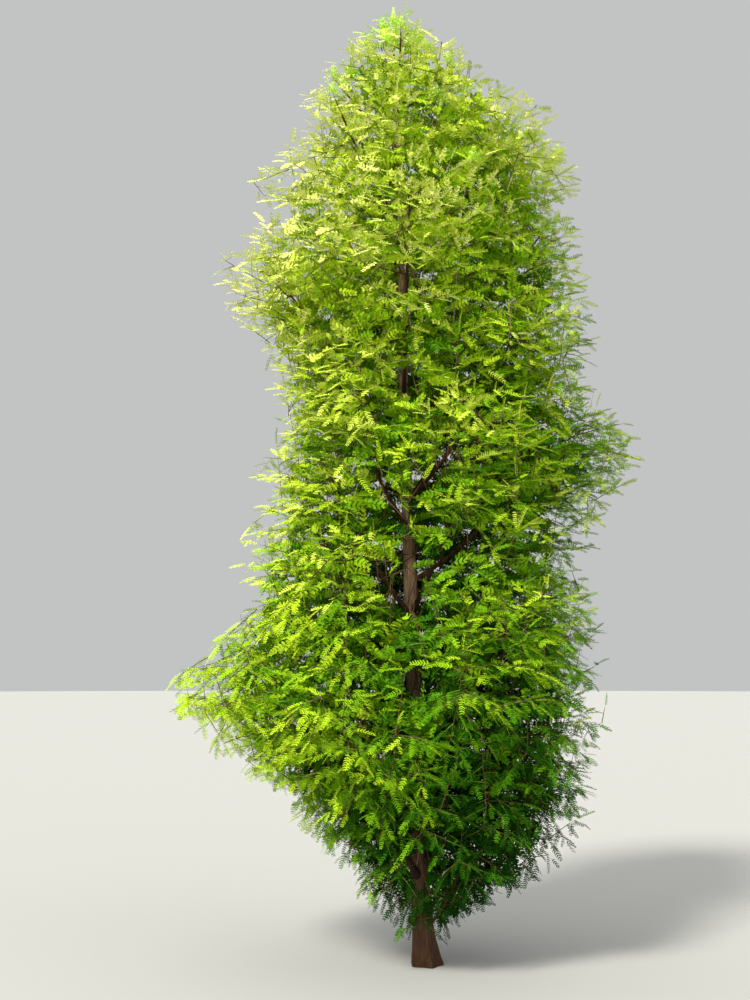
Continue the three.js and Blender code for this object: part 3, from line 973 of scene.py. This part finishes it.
def trunk_shoots(growths):
    """Short leafy shoots on the trunk, each grown by the mass whose space it stands in."""
    draw = draws_from(TRUNK_SEED)
    leafy = TRUNK_HEIGHT - TRUNK_SHOOT_TOP_GAP - TRUNK_SHOOT_LOWEST
    shoots = []
    for k in range(int(leafy / TRUNK_SHOOT_STEP)):
        height = TRUNK_SHOOT_LOWEST + TRUNK_SHOOT_STEP * k
        risen = min(1, height / TRUNK_SHOOT_RISEN)
        shoots.append((height, lerp(*TRUNK_SHOOT_RISES, risen)))
    for k in range(FOOT_SHOOTS):
        shoots.append((lerp(*FOOT_SHOOT_HEIGHTS, k / (FOOT_SHOOTS - 1)), FOOT_SHOOT_RISE))
    for k, (height, rise) in enumerate(shoots):
        jitter = between(draw, -TRUNK_SHOOT_RISE_JITTER, TRUNK_SHOOT_RISE_JITTER)
        way = direction(TIER_TURN * k, rise + jitter)
        out = direction(TIER_TURN * k, 0) * trunk_radius(height)
        start = axis_at(height) + out * TRUNK_SHOOT_SEAT
        longest = TRUNK_SHOOT_LONGEST * between(draw, *TRUNK_SHOOT_SCALE)
        if rise < 0:
            longest = min(longest, (height - GROUND_GAP) / math.sin(math.radians(-rise)))
        aim = start + way * longest / 2
        nearest = min(growths, key=lambda growth: float(((growth.mass.middle - aim) ** 2).sum()))
        nearest.frond(start, way, longest, INNER_RADIUS)


def fill_spaces(growths, crowd):
    """Twigs from the nearest limb or shoot into the parts of the crown that are still bare."""
    reach = CROWN[:, 1:].max() + SPRAY_CELL
    count = int(reach / SPRAY_CELL)
    sides = np.arange(-count, count) * SPRAY_CELL + SPRAY_CELL / 2
    levels = np.arange(int(CROWN_TOP / SPRAY_CELL)) * SPRAY_CELL + SPRAY_CELL / 2
    cells = np.stack(np.meshgrid(sides, sides, levels, indexing="ij"), axis=-1).reshape(-1, 3)
    seats = np.array([growth.mass.middle for growth in growths])
    for cell in cells[inside_crown(cells, -FILL_EDGE)]:
        least = SPRAYS_LEAST + more_sprays(cell) + int(is_deep(cell))
        if crowd.get(cell_of(cell), 0) >= least:
            continue
        growth = growths[int(np.argmin(((seats - cell) ** 2).sum(axis=1)))]
        reached = np.array(growth.reached)
        start = reached[int(np.argmin(((reached - cell) ** 2).sum(axis=1)))]
        way = cell - start
        apart = float(np.linalg.norm(way))
        if FILL_SHORTEST < apart < FILL_LONGEST:
            growth.frond(start, way / apart, apart + SPRAY_CELL / 2, FILL_RADIUS, TAN)


def grow(masses):
    """All that the masses grow, each with its bough and its stem."""
    trunk_heights = np.linspace(0, TRUNK_HEIGHT, TRUNK_SAMPLES + 1)
    trunk_radii = np.array([trunk_radius(height) for height in trunk_heights])
    limbs = [(axis_at(trunk_heights), trunk_radii)]
    for mass in masses:
        if mass.has_bough:
            mass.bough = bough_of(mass)
            limbs.append(limb_of(mass.bough.curve, mass.bough.radius_at))
    for mass in masses:
        mass.stem = stem_of(mass)
    growths = []
    crowd = {}
    for mass in masses:
        stems = [limb_of(other.stem, stem_radius) for other in masses if other is not mass]
        growth = Growth(mass, limbs + stems, crowd)
        growth.twigs()
        growth.stem()
        growth.hanging_twigs()
        if mass.has_bough:
            growth.inner_twigs()
        growths.append(growth)
    trunk_shoots(growths)
    fill_spaces(growths, crowd)
    return growths


# Templates of branchlets


def branchlet_template(whole, pair_step, length, width):
    """Points and faces of a branchlet along +X with its needles on the ±Y sides."""
    pairs = round(whole / pair_step)
    points, faces = [], []
    for i in range(pairs):
        share = (i + 0.5) / pairs
        full = min(1, NEEDLE_ROOT_SHARE + NEEDLE_SWELL * share)
        reach = length * (full * (1 - NEEDLE_TIP_LOSS * share**3))
        for sign in (1, -1):
            offset = NEEDLE_TURN_OFFSETS[(3 * i + (sign < 0)) % len(NEEDLE_TURN_OFFSETS)]
            turn = math.radians(lerp(*NEEDLE_TURNS, share) + offset)
            kind = (2 * i + (sign < 0)) % len(NEEDLE_TWISTS)
            twist = math.radians(NEEDLE_TWISTS[kind])
            way = np.array((math.cos(turn), sign * math.sin(turn), NEEDLE_LIFTS[kind]))
            wide = np.array((-math.sin(turn), sign * math.cos(turn), 0)) * math.cos(twist)
            wide = (wide + UP * math.sin(twist)) * width / 2
            root = np.array((share * whole, 0, -BRANCHLET_ARCH * whole * share**2))
            shoulder = root + way * reach * NEEDLE_SHOULDER
            tip = root + way * reach - wide * NEEDLE_TIP_OFFSET
            first = len(points)
            points += [root + wide, root - wide, tip, shoulder + wide]
            if sign > 0:
                faces += [(first, first + 1, first + 2), (first, first + 2, first + 3)]
            else:
                faces += [(first, first + 2, first + 1), (first, first + 3, first + 2)]
    # The axis tapers to a point that carries on as the last needle.
    first = len(points)
    for k in range(AXIS_SIDES):
        angle = 2 * math.pi * k / AXIS_SIDES
        points.append(np.array((0, math.cos(angle), math.sin(angle))) * AXIS_RADIUS)
        faces.append((first + k, first + (k + 1) % AXIS_SIDES, first + AXIS_SIDES))
    points.append(np.array((whole + length * AXIS_TIP_SHARE, 0, -BRANCHLET_ARCH * whole)))
    return np.array(points), np.array(faces)


# What must not hide the stretches of trunk and boughs that show in the photograph


def openings_of(growths):
    """The stretches that show, as rows of middles with half a width."""
    openings = []
    for low, high, half_width in WINDOWS:
        openings.append((axis_at(np.linspace(low, high, WINDOW_POINTS)), half_width))
    for growth in growths:
        if growth.mass.name in BOUGH_WINDOWS:
            shares = np.linspace(*BOUGH_WINDOW_SHARES, BOUGH_WINDOW_POINTS)
            openings.append((growth.mass.bough.curve(shares), BOUGH_WINDOW_WIDTH))
    return openings


def in_view(points):
    """Where points lie in the camera's view, as slopes to the right and upward."""
    apart = points - np.array(EYE)
    return apart[:, [0, 2]] / apart[:, 1:2]


def before_window(points, openings):
    """Which points hide a stretch that shows."""
    hides = np.zeros(len(points), bool)
    for middles, half_width in openings:
        limb = (in_view(middles), np.zeros(len(middles)))
        gap = half_width / (middles[:, 1].mean() - EYE[1])
        hides |= ~clear_of(in_view(points), [limb], gap) & (points[:, 1] < middles[:, 1].max())
    return hides


def sprays_before(growth, openings):
    """Which of the tubes are side twigs that cross a stretch that shows."""
    shares = np.linspace(0, 1, SPRAY_PROBES)[:, None]
    probes = [lerp(middles[0], middles[-1], shares) for middles, *_ in growth.tubes]
    hides = before_window(np.concatenate(probes), openings).reshape(-1, SPRAY_PROBES)
    return hides.any(axis=1) & np.array([tone == GREEN for *_, tone in growth.tubes])


# The branchlets that are kept, and their tones


def needle_tones(points, moods, chances, clefts):
    """Which tone each branchlet takes: lighter at the crown's edge, to the left and high up with
    painted light, where the upper crown's green is yellower too, and darker at the foot and in
    clefts with painted shade.
    """
    distance, reach = outward(points)
    edge = np.clip(distance / np.maximum(reach, REACH_LEAST), 0, EDGE_MOST)
    height = points[:, 2] / CROWN_TOP
    foot = np.clip(1 - points[:, 2] / FOOT_TOP, 0, 1) ** 2
    belt = np.exp(-(((points[:, 2] - BELT_HEIGHT) / BELT_WIDTH) ** 2))
    side = 1 + foot * np.where(points[:, 0] < 0, LIGHT_FOOT_LEFT, LIGHT_FOOT_RIGHT)
    # Painted light at the edge, on the left, in the belt and with height; painted shade at the
    # foot, on the right and in clefts.
    light = LIGHT_BASE + LIGHT_HEIGHT * height + LIGHT_EDGE * edge**2 + LIGHT_FOOT * foot
    light += LIGHT_SIDE * points[:, 0] * side + LIGHT_BELT * belt * (BELT_EDGE - edge)
    light += LIGHT_MOOD * moods + LIGHT_CHANCE * (chances - 0.5) + LIGHT_CLEFT * clefts
    light = np.minimum(light, LIGHT_MOST_FOOT + LIGHT_MOST_RISE * height)
    tones = np.clip((light * len(NEEDLE_TONES)).astype(int), 0, len(NEEDLE_TONES) - 1)
    tones[(moods > LIME_MOOD / 2) | (height > LIME_HEIGHT)] = len(NEEDLE_TONES)
    return tones


def kept_branchlets(growth, crossing, openings):
    """The branchlets that keep to their mass's space and the crown, and clear of the limbs."""
    columns = (np.array(column) for column in zip(*growth.places))
    at, way, across, sizes, chances, moods, slack, sprays = columns
    scales = lerp(*BRANCHLET_SCALE, (chances * SCALE_SPREAD) % 1)
    lengths = np.array(BRANCHLET_LENGTHS)[sizes] * scales
    tips = at + way * lengths[:, None]
    middles = at + way * lengths[:, None] / 2
    keep = inside_bulge(growth.mass, tips, slack + 2 * CROWN_SLACK)
    keep &= (sprays < 0) | ~crossing[sprays]
    keep &= space_left(growth.mass, tips) > -TIP_OVERLAP
    for probes in (middles, tips):
        keep &= clear_of(probes, growth.limbs, BRANCHLET_GAP) & ~before_window(probes, openings)
    deep = is_deep(middles)
    rolls = np.interp(middles[:, 2], BRANCHLET_ROLL_HEIGHTS, BRANCHLET_ROLLS)
    rolls = np.radians(np.where(deep, DEEP_ROLL, rolls)) * (2 * ((chances * ROLL_SPREAD) % 1) - 1)
    across = unit_rows(across)
    side = across * np.cos(rolls)[:, None] + np.cross(way, across) * np.sin(rolls)[:, None]
    side = unit_rows(side - way * (side * way).sum(axis=1)[:, None])
    turns = np.stack([way, side, np.cross(way, side)], axis=1) * scales[:, None, None]
    return {
        "at": at[keep],
        "turns": turns[keep],
        "kinds": (sizes + len(BRANCHLET_LENGTHS) * deep)[keep],
        "tones": needle_tones(tips, moods, chances, cleft(growth.mass, tips))[keep],
    }


# Joined meshes


def tube_arrays(middles, radii, sides):
    """A closed twig: rings along its middles, a flat foot and a pointed tip."""
    way = unit(middles[-1] - middles[0])
    side = unit(np.cross(way, UP if abs(way[2]) < STEEP else (1.0, 0, 0)))
    other = np.cross(way, side)
    angles = 2 * np.pi * np.arange(sides) / sides
    ring = np.cos(angles)[:, None] * side + np.sin(angles)[:, None] * other
    rings = middles[:-1, None] + radii[:-1, None, None] * ring
    points = np.concatenate([rings.reshape(-1, 3), middles[-1:]])
    here = np.arange(sides)
    after = (here + 1) % sides
    faces = []
    for i in range(len(middles) - 2):
        low, high = i * sides, (i + 1) * sides
        faces.append(np.stack([low + here, low + after, high + after], 1))
        faces.append(np.stack([low + here, high + after, high + here], 1))
    last, tip = (len(middles) - 2) * sides, len(points) - 1
    faces.append(np.stack([last + here, last + after, np.full(sides, tip)], 1))
    faces.append(np.stack([np.zeros(sides - 2, int), here[2:], here[1:-1]], 1))
    return points, np.concatenate(faces)


def join_arrays(parts):
    """One array of points and one of faces from many."""
    counts = [len(points) for points, _ in parts]
    shifts = np.concatenate([[0], np.cumsum(counts)[:-1]])
    points = np.concatenate([points for points, _ in parts])
    faces = np.concatenate([faces + shift for (_, faces), shift in zip(parts, shifts)])
    return points, faces


def twig_arrays(tubes):
    """Points, faces and tones of many twigs."""
    parts = [tube_arrays(middles, radii, sides) for middles, radii, sides, _ in tubes]
    tones = [np.full(len(faces), tube[3]) for (_, faces), tube in zip(parts, tubes)]
    return *join_arrays(parts), np.concatenate(tones)


def needle_arrays(branchlets, templates):
    """Points, faces and tones of many branchlets, each a turned copy of its template."""
    parts, tones = [], []
    for kind, (points, faces) in enumerate(templates):
        rows = np.nonzero(branchlets["kinds"] == kind)[0]
        if not len(rows):
            continue
        placed = np.einsum("pi,nij->npj", points, branchlets["turns"][rows])
        placed = placed + branchlets["at"][rows, None]
        shifts = np.arange(len(rows)) * len(points)
        joined = (faces[None] + shifts[:, None, None]).reshape(-1, 3)
        parts.append((placed.reshape(-1, 3), joined))
        tones.append(np.repeat(branchlets["tones"][rows], len(faces)))
    return *join_arrays(parts), np.concatenate(tones)


def joined_piece(name, points, faces, tones, materials):
    mesh = bpy.data.meshes.new(name)
    mesh.from_pydata(points, [], faces)
    for material in materials:
        mesh.materials.append(material)
    mesh.polygons.foreach_set("material_index", np.asarray(tones, np.int32))
    mesh.update()
    piece = bpy.data.objects.new(name, mesh)
    bpy.context.scene.collection.objects.link(piece)
    return piece


# Materials


def new_material(name, finish):
    """A material with its roughness and shine, and its shader."""
    material = bpy.data.materials.new(name)
    material.use_nodes = True
    shader = material.node_tree.nodes["Principled BSDF"]
    shader.inputs["Roughness"].default_value = finish[0]
    shader.inputs["Specular IOR Level"].default_value = finish[1]
    return material, shader


def plain_material(name, colour, finish):
    material, shader = new_material(name, finish)
    shader.inputs["Base Color"].default_value = (*colour, 1)
    return material


def bark_material(name, foot_shade_tint, crown_tint):
    """Fibrous bark, darkened with painted shade at the foot and lighter with painted light from
    the middle of the crown up.
    """
    material, shader = new_material(name, BARK_FINISH)
    nodes = material.node_tree.nodes
    place = nodes.new("ShaderNodeTexCoord")
    stretch = nodes.new("ShaderNodeMapping")
    stretch.inputs["Scale"].default_value = (1, 1, BARK_STRETCH)
    fibres = nodes.new("ShaderNodeTexNoise")
    for label, value in BARK_FIBRES.items():
        fibres.inputs[label].default_value = value
    colours = nodes.new("ShaderNodeValToRGB")
    tones = colours.color_ramp.elements
    tones[0].position = BARK_TONES[0][0]
    tones[1].position = BARK_TONES[2][0]
    tones.new(BARK_TONES[1][0])
    for element, (_, tone) in zip(tones, BARK_TONES):
        element.color = (*tone, 1)
    height = nodes.new("ShaderNodeSeparateXYZ")
    rise = nodes.new("ShaderNodeMapRange")
    rise.inputs["From Max"].default_value = BARK_LIGHT_HEIGHT
    # Painted shade at the foot, rising to painted light in the crown.
    shade_tint = nodes.new("ShaderNodeMix")
    shade_tint.data_type = "RGBA"
    foot, crown = [socket for socket in shade_tint.inputs if socket.type == "RGBA"]
    foot.default_value = (*foot_shade_tint, 1)
    crown.default_value = (*crown_tint, 1)
    mixed = next(socket for socket in shade_tint.outputs if socket.type == "RGBA")
    tinted = nodes.new("ShaderNodeVectorMath")
    tinted.operation = "MULTIPLY"
    bump = nodes.new("ShaderNodeBump")
    for label, value in BARK_BUMP.items():
        bump.inputs[label].default_value = value
    for output, socket in (
        (place.outputs["Object"], stretch.inputs["Vector"]),
        (stretch.outputs["Vector"], fibres.inputs["Vector"]),
        (fibres.outputs["Fac"], colours.inputs["Fac"]),
        (place.outputs["Object"], height.inputs["Vector"]),
        (height.outputs["Z"], rise.inputs["Value"]),
        (rise.outputs["Result"], shade_tint.inputs["Factor"]),
        (colours.outputs["Color"], tinted.inputs[0]),
        (mixed, tinted.inputs[1]),
        (tinted.outputs["Vector"], shader.inputs["Base Color"]),
        (fibres.outputs["Fac"], bump.inputs["Height"]),
        (bump.outputs["Normal"], shader.inputs["Normal"]),
    ):
        material.node_tree.links.new(output, socket)
    return material


# The trunk and the boughs, modelled ring by ring


def deselect_all():
    for thing in bpy.context.selected_objects:
        thing.select_set(False)


def select_only(thing):
    deselect_all()
    thing.select_set(True)
    bpy.context.view_layer.objects.active = thing


def apply_modifier(piece, kind, **settings):
    bpy.context.view_layer.objects.active = piece
    modifier = piece.modifiers.new(kind.title(), kind)
    for setting, value in settings.items():
        setattr(modifier, setting, value)
    bpy.ops.object.modifier_apply(modifier=modifier.name)


def model_limb(name, middles, radii, sides, turn):
    """A closed limb: a disc at its foot, extruded ring by ring along its middle."""
    deselect_all()
    bpy.ops.mesh.primitive_circle_add(
        vertices=sides, radius=radii[0], fill_type="NGON", location=middles[0], rotation=turn
    )
    limb = bpy.context.object
    limb.name = limb.data.name = name
    bpy.ops.object.transform_apply(location=True, rotation=True, scale=True)
    bpy.ops.object.mode_set(mode="EDIT")
    bpy.ops.mesh.select_all(action="SELECT")
    for before, after, low, high in zip(middles, middles[1:], radii, radii[1:]):
        step = tuple(float(value) for value in after - before)
        share = float(high / low)
        bpy.ops.mesh.extrude_region_move(TRANSFORM_OT_translate={"value": step})
        bpy.ops.transform.resize(value=(share, share, share), center_override=tuple(after))
    bpy.ops.mesh.select_all(action="SELECT")
    bpy.ops.mesh.normals_make_consistent(inside=False)
    bpy.ops.object.mode_set(mode="OBJECT")
    return limb


def weigh(limb, name, weight_at):
    group = limb.vertex_groups.new(name=name)
    for vertex in limb.data.vertices:
        group.add([vertex.index], float(np.clip(weight_at(vertex.co), 0, 1)), "REPLACE")


def bark_relief(limb, turn, thickness_at, relief):
    """Long ridges and fine fibres along the limb, as deep as the limb is thick there."""
    weigh(limb, "thickness", lambda point: thickness_at(point) / relief["thickest"])
    guide = bpy.data.objects.new("relief_guide", None)
    bpy.context.scene.collection.objects.link(guide)
    guide.rotation_euler = turn
    for label, (width, stretch) in RELIEF_CLOUDS.items():
        texture = bpy.data.textures.new(f"bark_{label}", "CLOUDS")
        texture.noise_scale = 1.0
        texture.noise_depth = 2
        guide.scale = (width, width, width * stretch)
        bpy.context.view_layer.update()
        apply_modifier(
            limb,
            "DISPLACE",
            texture=texture,
            texture_coords="OBJECT",
            texture_coords_object=guide,
            vertex_group="thickness",
            strength=relief[label],
            mid_level=0.5,
        )
    bpy.data.objects.remove(guide)


def finish_limb(limb, material):
    select_only(limb)
    bpy.ops.object.shade_smooth_by_angle(angle=math.radians(SMOOTH_ANGLE))
    limb.data.materials.append(material)
    return limb


def model_trunk(material):
    """The trunk, which is fluted at its foot and cut flat at the ground."""
    steps = range(TRUNK_RINGS + 1)
    heights = [TRUNK_HEIGHT * (step / TRUNK_RINGS) ** TRUNK_RING_POWER for step in steps]
    heights[0] = -TRUNK_BELOW_CUT
    middles = axis_at(np.array(heights))
    radii = np.array([trunk_radius(max(height, 0)) for height in heights])
    trunk = model_limb("trunk_with_bark", middles, radii, TRUNK_SIDES, (0, 0, 0))

    def flute_weight(point):
        height = max(point[2], 0)
        apart = np.array(point) - axis_at(height)
        around = math.atan2(apart[1], apart[0])
        fade = math.exp(-height / FLUTE_HEIGHT)
        return 0.5 + 0.5 * math.cos(FLUTES * around) * fade

    depth = FLUTE_DEPTH * (FOOT_RADIUS + ROOT_FLARE / 2)
    apply_modifier(trunk, "SUBSURF", levels=TRUNK_SMOOTHING, render_levels=TRUNK_SMOOTHING)
    weigh(trunk, "flutes", flute_weight)
    apply_modifier(trunk, "DISPLACE", vertex_group="flutes", strength=2 * depth, mid_level=0.0)
    apply_modifier(trunk, "DISPLACE", strength=-depth, mid_level=0.0)
    bark_relief(trunk, (0, 0, 0), lambda point: trunk_radius(max(point.z, 0)), TRUNK_RELIEF)
    select_only(trunk)
    bpy.ops.object.mode_set(mode="EDIT")
    bpy.ops.mesh.select_all(action="SELECT")
    bpy.ops.mesh.bisect(
        plane_co=(0, 0, TRUNK_CUT), plane_no=(0, 0, 1), use_fill=True, clear_inner=True
    )
    bpy.ops.object.mode_set(mode="OBJECT")
    return finish_limb(trunk, material)


def model_bough(mass, material):
    """A bough, which swells to a collar where it leaves the trunk."""
    shares = np.linspace(0, 1, BOUGH_RINGS + 1)
    middles = mass.bough.curve(shares)
    distance = np.linalg.norm(middles - middles[0], axis=1)
    collar = BOUGH_COLLAR_LENGTH * trunk_radius(mass.seat)
    radii = mass.bough.radius_at(shares) * (1 + BOUGH_COLLAR * np.exp(-((distance / collar) ** 2)))
    turn = Vector(middles[-1] - middles[0]).to_track_quat("Z", "Y").to_euler()
    bough = model_limb(f"limb_{mass.name}", middles, radii, BOUGH_SIDES, turn)
    apply_modifier(bough, "SUBSURF", levels=BOUGH_SMOOTHING, render_levels=BOUGH_SMOOTHING)
    seat_radius = float(radii[0])
    start = Vector(middles[0])
    span = (Vector(middles[-1]) - start).length

    def thickness_at(point):
        share = min((point - start).length / span, 1)
        return lerp(seat_radius, BOUGH_END_RADIUS, share)

    bark_relief(bough, turn, thickness_at, BOUGH_RELIEF)
    return finish_limb(bough, material)


# Camera, floor and light


def make_camera():
    data = bpy.data.cameras.new("camera")
    data.sensor_width = SENSOR
    data.lens = SENSOR * FOCAL_SHARE
    camera = bpy.data.objects.new("camera", data)
    camera.location = EYE
    camera.rotation_euler = (math.radians(90 + CAMERA_PITCH), 0, 0)
    bpy.context.scene.collection.objects.link(camera)
    bpy.context.scene.camera = camera


def make_stage():
    deselect_all()
    bpy.ops.mesh.primitive_circle_add(
        vertices=FLOOR_SIDES, radius=FLOOR_RADIUS, fill_type="NGON", location=(0, 0, 0)
    )
    floor = bpy.context.object
    floor.name = "floor"
    floor.data.materials.append(plain_material("floor_paint", FLOOR_COLOUR, FLOOR_FINISH))


def make_lights():
    bpy.context.scene.view_settings.view_transform = "Standard"
    world = bpy.data.worlds.new("studio")
    world.use_nodes = True
    sky = world.node_tree.nodes["Background"]
    sky.inputs["Color"].default_value = SKY_COLOUR
    sky.inputs["Strength"].default_value = SKY_STRENGTH
    bpy.context.scene.world = world
    for name, turn, energy, width, colour in LIGHTS:
        data = bpy.data.lights.new(name, "SUN")
        data.energy = energy
        data.angle = math.radians(width)
        data.color = colour
        lamp = bpy.data.objects.new(name, data)
        lamp.rotation_euler = [math.radians(value) for value in turn]
        bpy.context.scene.collection.objects.link(lamp)


# The tree


def dress_rings(growths):
    """For each ring of masses one piece of needles and one of twigs."""
    tones = [*NEEDLE_TONES, LIME_TONE]
    needle_materials = [plain_material(name, colour, NEEDLE_FINISH) for name, colour in tones]
    twig_materials = [plain_material(name, colour, TWIG_FINISH) for name, colour in TWIG_TONES]
    templates = [
        branchlet_template(whole, **kind) for kind in (FINE, DEEP) for whole in BRANCHLET_LENGTHS
    ]
    openings = openings_of(growths)
    for ring in dict.fromkeys(growth.mass.ring for growth in growths):
        members = [growth for growth in growths if growth.mass.ring == ring]
        kept, tubes = [], []
        for growth in members:
            crossing = sprays_before(growth, openings)
            kept.append(kept_branchlets(growth, crossing, openings))
            tubes += [tube for tube, crosses in zip(growth.tubes, crossing) if not crosses]
        branchlets = {key: np.concatenate([group[key] for group in kept]) for key in kept[0]}
        arrays = needle_arrays(branchlets, templates)
        needles = joined_piece(f"needles_{ring}", *arrays, needle_materials)
        twigs = joined_piece(f"twigs_{ring}", *twig_arrays(tubes), twig_materials)
        for piece, slot in ((needles, "needles"), (twigs, "bark")):
            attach(piece, "root")
            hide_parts(*[f"foliage_{growth.mass.name}" for growth in members])


make_camera()
growths = grow(lay_out())
trunk_bark = bark_material("bark", *TRUNK_SHADE_TINTS)
bough_bark = bark_material("bough_bark", *BOUGH_SHADE_TINTS)
trunk = model_trunk(trunk_bark)
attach(trunk, "root")
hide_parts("trunk")
for growth in growths:
    if growth.mass.has_bough:
        bough = model_bough(growth.mass, bough_bark)
        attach(bough, "root")
        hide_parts(f"bough_{growth.mass.name}")
dress_rings(growths)
make_stage()
make_lights()
